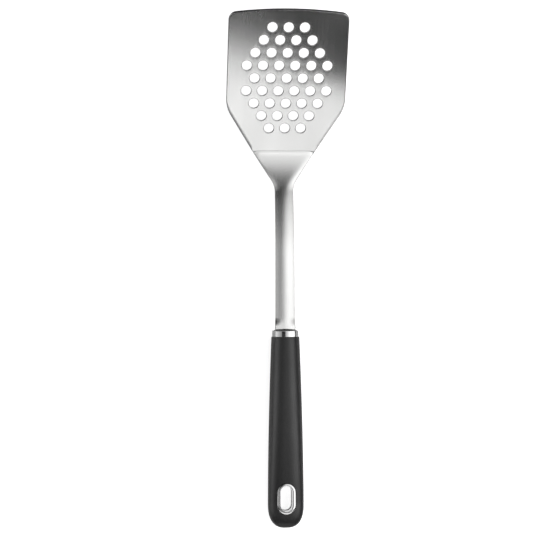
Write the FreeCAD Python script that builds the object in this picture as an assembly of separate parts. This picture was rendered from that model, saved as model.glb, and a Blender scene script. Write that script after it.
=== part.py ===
import FreeCAD, Part
import math
import os

# Perforated kitchen turner, lying face up on its heel and the belly of its handle.
# Lengths are millimetres and angles are degrees. +Y runs from the handle to the blade's tip, +Z is up,
# and the origin is on the table, under the middle of the turner's length.

Vector = FreeCAD.Vector

# Steel stamping: sheet and blade, measured in the blade's own plane
SHEET = 1.2
BLADE_PITCH = 24.4
BLADE_LENGTH = 96.9
BLADE_WIDTH = 78.2
TIP_RADIUS = 280.0
TIP_CORNER = 5.5
TIP_BEVEL = 1.6
TIP_EDGE = 0.5
TAPER_LENGTH = 29.6
TAPER_ROUND = 23.0
HEEL_WIDTH = 42.5

# Drain holes: staggered rows from the tip to the heel
HOLES_PER_ROW = (3, 4, 5, 6, 5, 6, 5, 4, 3)
HOLE_DIAMETER = 6.4
HOLE_PITCH = 10.5
HOLE_LIP = 0.4
FIRST_ROW_TO_TIP = 12.4
LAST_ROW_TO_HEEL = 15.7

# Neck and stem: heel bend, sweep up from the heel, shoulder down to the straight stem
HEEL_BEND = 9.0
SWEEP_RADIUS = 95.0
SHOULDER_RADIUS = 200.0
NECK_LENGTH = 23.3
NECK_ROUND_REACH = 4.5
STEM_LENGTH = 119.6
STEM_NECK_WIDTH = 12.4
STEM_END_WIDTH = 13.0
STEM_CROWN = 1.8
HEEL_STEP = 0.35
HEEL_STEP_RUN = 1.5
HEEL_CROWN_POWER = 12.0
STEM_CROWN_POWER = 2.0
CROWN_RUNOUT = 4.0
CROWN_STOP = 4.5

# Tang, hidden inside the handle: cover beside it in the spigot, and its stop ahead of the slot
TANG_COVER = 0.9
TANG_TO_SLOT = 27.5
TANG_CORNER = 4.0
KEY_HOLE_COUNT = 2
KEY_HOLE_DIAMETER = 5.0
KEY_HOLE_SPACING = 24.0

# Grip, from its front face to its rounded end
GRIP_LENGTH = 125.3
GRIP_FRONT_WIDTH = 18.4
GRIP_MAX_WIDTH = 23.5
GRIP_SWELL = 0.7
GRIP_FRONT_DEPTH = 14.8
GRIP_BELLY_SWELL = 2.2
GRIP_BELLY_SETBACK = 46.0
GRIP_END_DEPTH = 11.8
GRIP_FRONT_POWER = 2.2
GRIP_END_POWER = 3.0
END_ROUND = 16.3
END_ROUND_POWER = 2.6
END_ROUND_DEPTH_POWER = 5.0
GRIP_WALL = 1.5

# Ferrule on the core's spigot, and the core's nose in front of it
FERRULE_LENGTH = 4.0
FERRULE_WALL = 0.8
FERRULE_EDGE = 0.4
NOSE_LENGTH = 1.1

# Hanging slot and the two halves of its liner
SLOT_SETBACK = 19.4
SLOT_WIDTH = 8.0
SLOT_LENGTH = 16.6
LINER_WALL = 0.8
FLANGE_WIDTH = 2.1
FLANGE_THICKNESS = 1.0
FLANGE_EDGE = 0.6
FLANGE_PROUD = 0.2

# Assembly clearance per side
FIT = 0.05

# Distance under which two places count as one
NEAR = 0.01

PITCH = math.radians(BLADE_PITCH)
GRIP_BELLY_DEPTH = GRIP_FRONT_DEPTH + GRIP_BELLY_SWELL
SPIGOT_WIDTH = GRIP_FRONT_WIDTH - 2 * GRIP_WALL
SPIGOT_DEPTH = GRIP_FRONT_DEPTH - 2 * GRIP_WALL
TANG_WIDTH = SPIGOT_WIDTH - 2 * TANG_COVER
HOLE_ROW_PITCH = (BLADE_LENGTH - FIRST_ROW_TO_TIP - LAST_ROW_TO_HEEL) / (len(HOLES_PER_ROW) - 1)
RISE = (GRIP_BELLY_DEPTH - SHEET) / 2 - HEEL_STEP
SWEEP_ANGLE = math.acos(1 - RISE / (SWEEP_RADIUS + SHOULDER_RADIUS))
SIDE_PATH = (
    (HEEL_BEND * PITCH, 1 / HEEL_BEND),
    (SWEEP_RADIUS * SWEEP_ANGLE, 1 / SWEEP_RADIUS),
    (SHOULDER_RADIUS * SWEEP_ANGLE, -1 / SHOULDER_RADIUS),
    (math.inf, 0.0),
)
BEND_RUN = SIDE_PATH[0][0]
NECK_END = NECK_LENGTH + NECK_ROUND_REACH
CROWN_END = STEM_LENGTH - CROWN_STOP


def side_point(run):
    """Place and heading of the sheet's middle, run millimetres back along it from the blade's flat."""
    y, z, heading = 0.0, 0.0, -PITCH
    for length, curvature in SIDE_PATH:
        step = min(run, length)
        if curvature:
            turned = heading + curvature * step
            y -= (math.sin(turned) - math.sin(heading)) / curvature
            z += (math.cos(heading) - math.cos(turned)) / curvature
            heading = turned
        else:
            y -= step * math.cos(heading)
            z += step * math.sin(heading)
        run -= step
        if run <= 0:
            break
    return y, z, heading


FERRULE_FRONT, STEM_HEIGHT, _ = side_point(STEM_LENGTH)
AXIS_HEIGHT = STEM_HEIGHT + HEEL_STEP
GRIP_FRONT = FERRULE_FRONT - FERRULE_LENGTH
GRIP_END = GRIP_FRONT - GRIP_LENGTH
SLOT_CENTRE = GRIP_END + SLOT_SETBACK
TANG_END = SLOT_CENTRE + SLOT_LENGTH / 2 + FLANGE_WIDTH + TANG_TO_SLOT
TIP_REACH = BLADE_LENGTH * math.cos(PITCH) + SHEET / 2 * math.sin(PITCH)
TO_ORIGIN = Vector(0, -(TIP_REACH + GRIP_END) / 2, GRIP_BELLY_DEPTH / 2 - AXIS_HEIGHT)


def ease(share):
    """Smooth step from 0 to 1."""
    share = min(max(share, 0.0), 1.0)
    return share * share * (3 - 2 * share)


def prism(wire, direction):
    return Part.Face(wire).extrude(direction)


def blade_plate():
    """Flat blade with its heel on the X axis, its middle plane at z = 0, before holes."""
    half = BLADE_WIDTH / 2
    sagitta = TIP_RADIUS - math.sqrt(TIP_RADIUS**2 - half**2)
    low = -SHEET / 2
    heel_left, heel_right = Vector(-HEEL_WIDTH / 2, 0, low), Vector(HEEL_WIDTH / 2, 0, low)
    side_left, side_right = Vector(-half, TAPER_LENGTH, low), Vector(half, TAPER_LENGTH, low)
    tip_left = Vector(-half, BLADE_LENGTH - sagitta, low)
    tip_right = Vector(half, BLADE_LENGTH - sagitta, low)
    edges = [
        Part.LineSegment(heel_left, heel_right).toShape(),
        Part.LineSegment(heel_right, side_right).toShape(),
        Part.LineSegment(side_right, tip_right).toShape(),
        Part.Arc(tip_right, Vector(0, BLADE_LENGTH, low), tip_left).toShape(),
        Part.LineSegment(tip_left, side_left).toShape(),
        Part.LineSegment(side_left, heel_left).toShape(),
    ]
    plate = prism(Part.Wire(edges), Vector(0, 0, SHEET))
    plate = plate.makeFillet(TIP_CORNER, upright_edges(plate, (tip_left, tip_right)))
    plate = plate.makeFillet(TAPER_ROUND, upright_edges(plate, (side_left, side_right)))
    return plate.cut(tip_bevel_tool())


def upright_edges(plate, feet):
    """Edges that stand on the given points of the plate's underside."""
    return [edge for edge in plate.Edges for foot in feet
            if min(vertex.Point.distanceToPoint(foot) for vertex in edge.Vertexes) < NEAR
            and abs(edge.BoundBox.ZLength - SHEET) < NEAR]


def tip_bevel_tool():
    """Ring segment that grinds the upper face down towards the tip edge."""
    fall = (SHEET - TIP_EDGE) / TIP_BEVEL
    overshoot = TIP_BEVEL
    inner, outer = TIP_RADIUS - TIP_BEVEL, TIP_RADIUS + overshoot
    top = SHEET / 2
    corners = [Vector(inner, 0, top), Vector(outer, 0, top + overshoot),
               Vector(outer, 0, top - fall * (TIP_BEVEL + overshoot)), Vector(inner, 0, top)]
    half_span = math.degrees(math.asin((BLADE_WIDTH / 2 + TIP_CORNER) / TIP_RADIUS))
    ring = Part.Face(Part.makePolygon(corners)).revolve(Vector(0, 0, 0), Vector(0, 0, 1), 2 * half_span)
    ring.rotate(Vector(0, 0, 0), Vector(0, 0, 1), 90 - half_span)
    ring.translate(Vector(0, BLADE_LENGTH - TIP_RADIUS, 0))
    return ring


def hole_centres():
    for row, count in enumerate(HOLES_PER_ROW):
        y = BLADE_LENGTH - FIRST_ROW_TO_TIP - row * HOLE_ROW_PITCH
        for column in range(count):
            yield Vector((column - (count - 1) / 2) * HOLE_PITCH, y, 0)


def perforated(plate):
    """Drain holes with both rims rolled over."""
    punch = Part.makeCylinder(HOLE_DIAMETER / 2, 2 * SHEET, Vector(0, 0, -SHEET))
    punches = [punch.translated(centre) for centre in hole_centres()]
    plate = plate.cut(Part.makeCompound(punches))
    circles = [edge for edge in plate.Edges if isinstance(edge.Curve, Part.Circle)]
    rims = [edge for edge in circles if abs(edge.Curve.Radius - HOLE_DIAMETER / 2) < NEAR]
    return plate.makeFillet(within_wall(HOLE_LIP, SHEET / 2), rims)


def within_wall(fillet, wall):
    """Fillet limited to what its wall can hold."""
    return min(fillet, wall - NEAR)


def half_width(run):
    """Half width of neck and stem: straight taper, round into the stem, slight flare to the handle."""
    narrow = STEM_NECK_WIDTH / 2
    taper = (narrow - HEEL_WIDTH / 2) / NECK_LENGTH
    flare = (STEM_END_WIDTH - STEM_NECK_WIDTH) / 2 / (CROWN_END - NECK_LENGTH)
    into_round = run - (NECK_LENGTH - NECK_ROUND_REACH)
    if into_round <= 0:
        return HEEL_WIDTH / 2 + taper * run
    if run <= NECK_END:
        return HEEL_WIDTH / 2 + taper * run + (flare - taper) * into_round**2 / (4 * NECK_ROUND_REACH)
    return narrow + flare * (run - NECK_LENGTH) + (TANG_WIDTH - STEM_END_WIDTH) / 2 * flattened(run)


def flattened(run):
    """Share of the crown that is pressed flat again ahead of the handle."""
    return ease((run - CROWN_END + CROWN_RUNOUT) / CROWN_RUNOUT)


def heel_lift(run):
    """Small step of the neck's middle above the blade's plane."""
    return HEEL_STEP * ease(run / HEEL_STEP_RUN)


def edge_drop(run):
    """Fall of the edges below the middle: slight at the heel, the full crown along the stem."""
    growth = (STEM_CROWN - HEEL_STEP) * ease((run - BEND_RUN) / (NECK_END - BEND_RUN))
    return (heel_lift(run) + growth) * (1 - flattened(run))


def crown_power(run):
    """High where only the neck's edges turn down, low where the whole stem is arched."""
    return HEEL_CROWN_POWER + (STEM_CROWN_POWER - HEEL_CROWN_POWER) * ease(run / NECK_END)


def sheet_section(run):
    """Closed outline of the sheet, square to the side path."""
    y, z, heading = side_point(run)
    up = Vector(0, math.sin(heading), math.cos(heading))
    across = Vector(1, 0, 0)
    wide, lift, drop, power = half_width(run), heel_lift(run), edge_drop(run), crown_power(run)
    upper, lower = [], []
    steps = 12
    for index in range(steps + 1):
        share = -math.cos(math.pi * index / steps)
        rise = lift - drop * abs(share) ** power
        slope = -drop * power / wide * math.copysign(abs(share) ** (power - 1), share)
        lean = math.atan(slope)
        middle = Vector(0, y, z) + across * (wide * share) + up * rise
        offset = (up * math.cos(lean) - across * math.sin(lean)) * (SHEET / 2)
        upper.append(middle + offset)
        lower.append(middle - offset)
    top, bottom = Part.BSplineCurve(), Part.BSplineCurve()
    top.interpolate(upper)
    bottom.interpolate(lower[::-1])
    return Part.Wire([top.toShape(), Part.LineSegment(upper[-1], lower[-1]).toShape(),
                      bottom.toShape(), Part.LineSegment(lower[0], upper[0]).toShape()])


def spread(start, end, count):
    """Count evenly spaced places after start, up to end."""
    return [start + (end - start) * (index + 1) / count for index in range(count)]


def sheet_stretch(start, end, count):
    return Part.makeLoft([sheet_section(run) for run in [start] + spread(start, end, count)], True, False)


def neck_and_stem():
    """Heel bend, neck, crowned stem, and the stretch where the crown is pressed flat again."""
    crown_fall = CROWN_END - CROWN_RUNOUT
    return [sheet_stretch(0.0, BEND_RUN, count=6),
            sheet_stretch(BEND_RUN, NECK_END, count=10),
            sheet_stretch(NECK_END, crown_fall, count=8),
            sheet_stretch(crown_fall, CROWN_END, count=6)]


def tang():
    """Flat strip from the end of the crown into the handle, with holes that key the moulding."""
    start = side_point(CROWN_END)[0]
    low = AXIS_HEIGHT - SHEET / 2
    strip = Part.makeBox(TANG_WIDTH, start - TANG_END, SHEET, Vector(-TANG_WIDTH / 2, TANG_END, low))
    rear = upright_edges(strip, [Vector(side, TANG_END, low) for side in (-TANG_WIDTH / 2, TANG_WIDTH / 2)])
    strip = strip.makeFillet(TANG_CORNER, rear)
    for index in range(KEY_HOLE_COUNT):
        y = TANG_END + KEY_HOLE_SPACING / 2 + index * KEY_HOLE_SPACING
        strip = strip.cut(Part.makeCylinder(KEY_HOLE_DIAMETER / 2, SHEET, Vector(0, y, low)))
    return strip


def blade_and_stem():
    blade = perforated(blade_plate())
    blade.rotate(Vector(0, 0, 0), Vector(1, 0, 0), BLADE_PITCH)
    return blade.fuse(neck_and_stem() + [tang()]).removeSplitter()


def oval(y, width, depth, power):
    """Closed superellipse round the handle's axis."""
    points = []
    count = 24
    for index in range(count):
        angle = 2 * math.pi * index / count
        cosine, sine = math.cos(angle), math.sin(angle)
        x = math.copysign(abs(cosine) ** (2 / power), cosine) * width / 2
        z = math.copysign(abs(sine) ** (2 / power), sine) * depth / 2
        points.append(Vector(x, y, AXIS_HEIGHT + z))
    curve = Part.BSplineCurve()
    curve.interpolate(Points=points, PeriodicFlag=True)
    return Part.Wire(curve.toShape())


def grip_size(setback, inset=0.0):
    """Width, depth and superellipse power of the handle, setback behind the grip's front face."""
    body = GRIP_LENGTH - END_ROUND
    share = min(setback / body, 1.0)
    belly = GRIP_BELLY_SETBACK
    width = GRIP_FRONT_WIDTH + (GRIP_MAX_WIDTH - GRIP_FRONT_WIDTH) * share * (1 + GRIP_SWELL * (1 - share))
    if setback < belly:
        depth = GRIP_FRONT_DEPTH
        depth += (GRIP_BELLY_DEPTH - GRIP_FRONT_DEPTH) * math.sin(math.pi / 2 * setback / belly)
    else:
        fall = min((setback - belly) / (body - belly), 1.0)
        depth = GRIP_END_DEPTH + (GRIP_BELLY_DEPTH - GRIP_END_DEPTH) * math.cos(math.pi / 2 * fall)
    round_share = max(setback - body, 0.0) / (END_ROUND - inset)
    width = (width - 2 * inset) * (1 - round_share**END_ROUND_POWER) ** (1 / END_ROUND_POWER)
    depth = (depth - 2 * inset) * (1 - round_share**END_ROUND_DEPTH_POWER) ** (1 / END_ROUND_POWER)
    return width, depth, GRIP_FRONT_POWER + (GRIP_END_POWER - GRIP_FRONT_POWER) * share


def handle_form(inset):
    """Rounded handle body, inset all round from the grip's outer surface."""
    body = GRIP_LENGTH - END_ROUND
    straight = [0.0] + spread(0, body, count=8)
    last_angle = 84
    angles = [0.0] + spread(0, last_angle, count=7)
    rounded = [body + (END_ROUND - inset) * math.sin(math.radians(angle)) for angle in angles]
    sections = [[oval(GRIP_FRONT - setback, *grip_size(setback, inset)) for setback in setbacks]
                for setbacks in (straight, rounded)]
    tip = Part.Vertex(0, GRIP_END + inset, AXIS_HEIGHT)
    end = Part.makeLoft(sections[1] + [tip], True, False)
    return Part.makeLoft(sections[0], True, False).fuse(end)


def spigot_oval(y, margin=0.0, scale=1.0):
    """Outline of the spigot at y, grown by a margin all round or scaled."""
    width, depth = grown(SPIGOT_WIDTH, margin), grown(SPIGOT_DEPTH, margin)
    return oval(y, width * scale, depth * scale, GRIP_FRONT_POWER)


def nose():
    """Shallow dome that closes the ferrule's front."""
    sections = []
    for angle in (0, 25, 50, 70):
        y = FERRULE_FRONT + NOSE_LENGTH * math.sin(math.radians(angle))
        sections.append(spigot_oval(y, scale=math.cos(math.radians(angle))))
    return Part.makeLoft(sections + [Part.Vertex(0, FERRULE_FRONT + NOSE_LENGTH, AXIS_HEIGHT)], True, False)


def obround(width, length, low, high):
    """Upright prism of the hanging slot's outline, between two heights above the handle's axis."""
    reach = (length - width) / 2
    radius = width / 2
    z = AXIS_HEIGHT + low
    right_front = Vector(radius, SLOT_CENTRE + reach, z)
    left_front = Vector(-radius, SLOT_CENTRE + reach, z)
    right_back = Vector(radius, SLOT_CENTRE - reach, z)
    left_back = Vector(-radius, SLOT_CENTRE - reach, z)
    front = Vector(0, SLOT_CENTRE + reach + radius, z)
    back = Vector(0, SLOT_CENTRE - reach - radius, z)
    edges = [Part.LineSegment(right_back, right_front).toShape(),
             Part.Arc(right_front, front, left_front).toShape(),
             Part.LineSegment(left_front, left_back).toShape(),
             Part.Arc(left_back, back, right_back).toShape()]
    return prism(Part.Wire(edges), Vector(0, 0, high - low))


def flange_top():
    setback = GRIP_FRONT - SLOT_CENTRE
    return grip_size(setback)[1] / 2 + FLANGE_PROUD


def grown(size, margin):
    return size + 2 * margin


def eyelet_front():
    """Upper half of the slot's liner: a sleeve with a rounded flange, seated in the grip."""
    top = flange_top()
    outer = obround(grown(SLOT_WIDTH, LINER_WALL), grown(SLOT_LENGTH, LINER_WALL), 0, top)
    flange = obround(grown(SLOT_WIDTH, FLANGE_WIDTH), grown(SLOT_LENGTH, FLANGE_WIDTH),
                     top - FLANGE_THICKNESS, top)
    opening = obround(SLOT_WIDTH, SLOT_LENGTH, -SLOT_WIDTH, top + SLOT_WIDTH)
    liner = outer.fuse(flange).cut(opening)
    rim = [edge for edge in liner.Edges
           if edge.BoundBox.ZMin > AXIS_HEIGHT + top - FLANGE_THICKNESS / 2]
    return liner.makeFillet(within_wall(FLANGE_EDGE, min(FLANGE_THICKNESS, FLANGE_WIDTH / 2)), rim)


def mirrored_below(shape):
    return shape.mirror(Vector(0, 0, AXIS_HEIGHT), Vector(0, 0, 1))


def slot_tool():
    """Space that the two liner halves take in the handle, with assembly clearance."""
    top = flange_top()
    past = top + SLOT_WIDTH
    shaft = obround(grown(SLOT_WIDTH, LINER_WALL + FIT), grown(SLOT_LENGTH, LINER_WALL + FIT), -past, past)
    seat = obround(grown(SLOT_WIDTH, FLANGE_WIDTH + FIT), grown(SLOT_LENGTH, FLANGE_WIDTH + FIT),
                   top - FLANGE_THICKNESS, past)
    return shaft.fuse([seat, mirrored_below(seat)])


def ferrule():
    """Polished ring round the spigot, with a softened front edge."""
    length = Vector(0, FERRULE_LENGTH, 0)
    ring = prism(spigot_oval(GRIP_FRONT, FIT + FERRULE_WALL), length)
    front = [edge for edge in ring.Edges if edge.BoundBox.YMin > FERRULE_FRONT - FERRULE_LENGTH / 2]
    ring = ring.makeFillet(within_wall(FERRULE_EDGE, FERRULE_WALL), front)
    return ring.cut(prism(spigot_oval(GRIP_FRONT, FIT), length))


def handle_core(steel):
    """Rigid moulding round the tang, with the ferrule's spigot and the nose."""
    spigot = prism(spigot_oval(GRIP_FRONT), Vector(0, FERRULE_LENGTH, 0))
    return handle_form(GRIP_WALL).fuse([spigot, nose()]).cut(slot_tool()).cut(steel)


def soft_grip():
    """Soft sleeve over the core, open at the front."""
    return handle_form(0.0).cut(handle_form(GRIP_WALL)).cut(slot_tool())


def main():
    steel = blade_and_stem()
    liner = eyelet_front()
    pieces = {
        "blade_and_stem": steel,
        "ferrule": ferrule(),
        "handle_core": handle_core(steel),
        "soft_grip": soft_grip(),
        "eyelet_front": liner,
        "eyelet_back": mirrored_below(liner),
    }
    os.makedirs("parts", exist_ok=True)
    for name, shape in pieces.items():
        placed = shape.translated(TO_ORIGIN)
        placed.exportStep("parts/" + name + ".step")
        box = placed.BoundBox
        print(name, placed.isValid(), len(placed.Solids), "%.1f mm3" % placed.Volume,
              "z %.2f to %.2f" % (box.ZMin, box.ZMax))


main()
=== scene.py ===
import math

import bmesh
import bpy
from mathutils import Matrix, Vector
from mathutils.geometry import delaunay_2d_cdt


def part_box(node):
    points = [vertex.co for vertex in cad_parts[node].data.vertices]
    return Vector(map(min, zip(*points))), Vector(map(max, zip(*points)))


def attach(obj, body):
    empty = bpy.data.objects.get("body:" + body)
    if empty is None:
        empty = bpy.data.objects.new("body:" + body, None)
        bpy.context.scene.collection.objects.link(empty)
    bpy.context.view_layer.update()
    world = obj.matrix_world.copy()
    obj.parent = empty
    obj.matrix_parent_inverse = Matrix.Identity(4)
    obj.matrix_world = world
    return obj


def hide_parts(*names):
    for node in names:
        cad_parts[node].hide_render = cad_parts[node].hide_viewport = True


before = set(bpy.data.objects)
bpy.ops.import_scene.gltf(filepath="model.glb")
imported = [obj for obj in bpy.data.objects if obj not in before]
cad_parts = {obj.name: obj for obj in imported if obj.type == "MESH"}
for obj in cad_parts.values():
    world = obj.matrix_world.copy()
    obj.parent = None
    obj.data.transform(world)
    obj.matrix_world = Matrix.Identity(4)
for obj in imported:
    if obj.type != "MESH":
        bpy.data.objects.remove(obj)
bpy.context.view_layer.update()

# Perforated kitchen turner on a pale floor, in the frame of the solids: +Y runs from the handle to the
# blade's tip and +Z is up. Lengths are metres, angles radians.
MM = 0.001

# Steel sheet and blade, measured in the blade's own plane: u across, v from the heel to the tip
SHEET = 1.2 * MM
BLADE_PITCH = math.radians(24.4)
BLADE_LENGTH = 96.9 * MM
BLADE_WIDTH = 78.2 * MM
TIP_RADIUS = 280.0 * MM
TIP_CENTRE = BLADE_LENGTH - TIP_RADIUS
TIP_CORNER = 5.5 * MM
TIP_BEVEL = 1.1 * MM
TIP_EDGE = 0.3 * MM
TAPER_LENGTH = 29.6 * MM
TAPER_ROUND = 23.0 * MM
HEEL_WIDTH = 42.5 * MM

# Rounded edges of the sheet, softer beside the blade's taper, and no deeper than a share of its thickness
EDGE_REACH = 0.65 * MM
TAPER_EDGE_REACH = 2.0 * MM
TAPER_EDGE_START = 3.0 * MM
TAPER_EDGE_STOP = (24.0 * MM, 36.0 * MM)
EDGE_DROP = 0.45 * MM
EDGE_DROP_SHARE = 0.6
EDGE_BURR = 0.3 * MM
EDGE_BURR_SHARE = 0.3

# Drain holes: staggered rows from the tip to the heel
HOLES_PER_ROW = (3, 4, 5, 6, 5, 6, 5, 4, 3)
HOLE_RADIUS = 3.2 * MM
HOLE_PITCH = 10.5 * MM
HOLE_ROW_PITCH = 8.6 * MM
HOLE_LIP = 0.5 * MM
HOLE_LIP_DROP = 0.35 * MM
FIRST_ROW_TO_TIP = 12.4 * MM

# Dull finish of the cut edges, darkened further with painted shade that differs from side to side and fills
# the hole walls: its run-in on the tip's bevel, and its shares elsewhere
GROUND_AND_SHADE_RUN = 0.3 * MM
LEFT_FINISH_AND_SHADE = 0.5
RIGHT_HEEL_FINISH_AND_SHADE = 0.2
RIGHT_TIP_FINISH_AND_SHADE = 1.0
RIGHT_FINISH_AND_SHADE_TURN = (38.0 * MM, 53.0 * MM)
HOLE_LIP_FINISH_AND_SHADE = 0.4
HOLE_WALL_FINISH_AND_SHADE = 1.0

# Neck and stem, measured along the sheet from the heel
HEEL_BEND = 9.0 * MM
SWEEP_RADIUS = 95.0 * MM
SHOULDER_RADIUS = 200.0 * MM
SWEEP_RISE = 7.55 * MM
NECK_LENGTH = 23.3 * MM
NECK_ROUND_REACH = 4.5 * MM
STEM_LENGTH = 119.6 * MM
STEM_NECK_WIDTH = 12.4 * MM
STEM_END_WIDTH = 13.0 * MM
STEM_CROWN = 1.8 * MM
HEEL_STEP = 0.35 * MM
HEEL_STEP_RUN = 2.0 * MM
HEEL_STEP_CORNER = 4.5 * MM
HEEL_CROWN_POWER = 12.0
STEM_CROWN_POWER = 2.0
CROWN_RUNOUT = 6.5 * MM
CROWN_STOP = 2.5 * MM

# Tang, hidden inside the handle
TANG_WIDTH = 13.6 * MM
TANG_LENGTH = 72.0 * MM
TANG_CORNER = 4.0 * MM
KEY_HOLE_RADIUS = 2.5 * MM
KEY_HOLES_TO_END = (12.0 * MM, 36.0 * MM)

# Grip, from its front face to its rounded end
GRIP_FRONT_WIDTH = 18.4 * MM
GRIP_MAX_WIDTH = 23.5 * MM
GRIP_SWELL = 0.7
GRIP_FRONT_DEPTH = 14.8 * MM
GRIP_BELLY_DEPTH = 17.0 * MM
GRIP_BELLY_SETBACK = 46.0 * MM
GRIP_END_DEPTH = 11.8 * MM
GRIP_FRONT_POWER = 2.2
GRIP_END_POWER = 3.0
GRIP_WALL = 1.5 * MM
GRIP_LIP = 0.45 * MM
END_ROUND = 16.3 * MM
END_ROUND_POWER = 2.6
END_ROUND_DEPTH_POWER = 5.0

# Ferrule and slot liner
FERRULE_WALL = 0.8 * MM
FERRULE_EDGE = 0.45 * MM
FIT = 0.05 * MM
SLOT_WIDTH = 8.0 * MM
SLOT_LENGTH = 16.6 * MM
LINER_WALL = 0.8 * MM
FLANGE_WIDTH = 2.1 * MM
FLANGE_THICKNESS = 1.0 * MM
FLANGE_EDGE = 0.75 * MM
FLANGE_CROWN = 0.08 * MM
MOUTH_CHAMFER = 0.55 * MM
MOUTH_DEPTH = 0.8 * MM

# Places read from the solids
GRIP_END_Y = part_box("soft_grip")[0].y
GRIP_FRONT_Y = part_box("soft_grip")[1].y
GRIP_LENGTH = GRIP_FRONT_Y - GRIP_END_Y
AXIS_Z = GRIP_BELLY_DEPTH / 2
FERRULE_FRONT_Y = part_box("ferrule")[1].y
SLOT_Y = (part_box("eyelet_front")[0].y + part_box("eyelet_front")[1].y) / 2
FLANGE_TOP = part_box("eyelet_front")[1].z - AXIS_Z

# Side view of the sheet behind the blade's flat: stretches of a length and a curvature
SWEEP_ANGLE = math.acos(1 - SWEEP_RISE / (SWEEP_RADIUS + SHOULDER_RADIUS))
SIDE_PATH = (
    (HEEL_BEND * BLADE_PITCH, 1 / HEEL_BEND),
    (SWEEP_RADIUS * SWEEP_ANGLE, 1 / SWEEP_RADIUS),
    (SHOULDER_RADIUS * SWEEP_ANGLE, -1 / SHOULDER_RADIUS),
    (math.inf, 0.0),
)
BEND_RUN = SIDE_PATH[0][0]
NECK_END = NECK_LENGTH + NECK_ROUND_REACH
CROWN_END = STEM_LENGTH - CROWN_STOP

# Fineness of the meshes
EDGE_STEPS = 4
TAPER_STEPS = 10
SIDE_STEPS = 12
CORNER_STEPS = 8
TIP_STEPS = 24
CREASE_STEPS = 48
HOLE_STEPS = 48
RING_STEPS = 28
HEEL_RINGS = 10
BEND_RINGS = 14
NECK_RINGS = 56
STEM_RINGS = 60
RUNOUT_RINGS = 16
GRIP_STEPS = 96
GRIP_BODY_RINGS = 60
GRIP_SLOT_RINGS = 26
GRIP_END_RINGS = 14
GRIP_END_TURN = math.radians(88)
GRIP_LIP_STEPS = 5
SLOT_STEPS = 16
PATCH_SPREAD = 17
PATCH_MARGIN = 2.5 * MM
PATCH_CLEARANCE = 0.35 * MM
FERRULE_STEPS = 160
FERRULE_EDGE_STEPS = 6
FLANGE_FACE_STEPS = 8
FLANGE_EDGE_STEPS = 5
SLOPE_STEP = 0.01 * MM
WELD = 0.002 * MM
FILL_TOLERANCE = 1e-7
STEEL_SHARP = math.radians(21)
HANDLE_SHARP = math.radians(35)
NORMAL_WEIGHT = 75

# Usual range of the noise in the materials
NOISE_LOW = 0.3
NOISE_HIGH = 0.7

# Camera, with the photo's framing
CAMERA_SENSOR = 36.0
CAMERA_LENS = 132.86
CAMERA_CLIP_END = 60.0
CAMERA_DISTANCE = 1.3
CAMERA_AIM = (-11.5 * MM, 3.12 * MM, 0.0)
CAMERA_TURN = (math.radians(-0.56), math.radians(5.23), math.radians(0.16))

# Floor and room
FLOOR_REACH = 12.0
FLOOR_GLOW = 0.80
ROOM_GLOW = 0.03
SURROUND_GLOW = 0.92


def side_point(run):
    """Place and heading of the sheet's middle, run back along it from the blade's flat."""
    y, z, heading = 0.0, 0.0, -BLADE_PITCH
    for length, curvature in SIDE_PATH:
        step = min(run, length)
        if curvature:
            turned = heading + curvature * step
            y -= (math.sin(turned) - math.sin(heading)) / curvature
            z += (math.cos(heading) - math.cos(turned)) / curvature
            heading = turned
        else:
            y -= step * math.cos(heading)
            z += step * math.sin(heading)
        run -= step
        if run <= 0:
            break
    return y, z, heading


HEEL_Y = FERRULE_FRONT_Y - side_point(STEM_LENGTH)[0]
HEEL_Z = AXIS_Z - HEEL_STEP - side_point(STEM_LENGTH)[1]

# Faint bends of the steel's shading normal: tilts, and the places along Y where each sets in or ends
BLADE_TWIST = 0.36
BLADE_BOW = 24.0
BOW_Y = HEEL_Y + 41.0 * MM
BOW_REACH = 15.0 * MM
BOW_LEFT = 0.05 * BLADE_WIDTH
SPRING_START = (HEEL_Y + 1.0 * MM, HEEL_Y + 25.0 * MM)
NECK_LEAN = 0.13
NECK_LEAN_START = (HEEL_Y + 0.6 * MM, HEEL_Y - 1.6 * MM)
NECK_LEAN_END = (HEEL_Y - 22.0 * MM, HEEL_Y - 5.0 * MM)
STEM_LEAN = 0.07
STEM_LEAN_START = (HEEL_Y - 24.0 * MM, HEEL_Y - 36.0 * MM)
END_CROWN = 45.0
END_CROWN_LEFT = 1.0 * MM
END_CROWN_START = (FERRULE_FRONT_Y + 9.0 * MM, FERRULE_FRONT_Y + 5.0 * MM)


def ease(share):
    """Smooth step from 0 to 1."""
    share = min(max(share, 0.0), 1.0)
    return share * share * (3 - 2 * share)


def steps(start, end, count):
    """Count + 1 evenly spaced values from start to end."""
    return [start + (end - start) * index / count for index in range(count + 1)]


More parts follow.
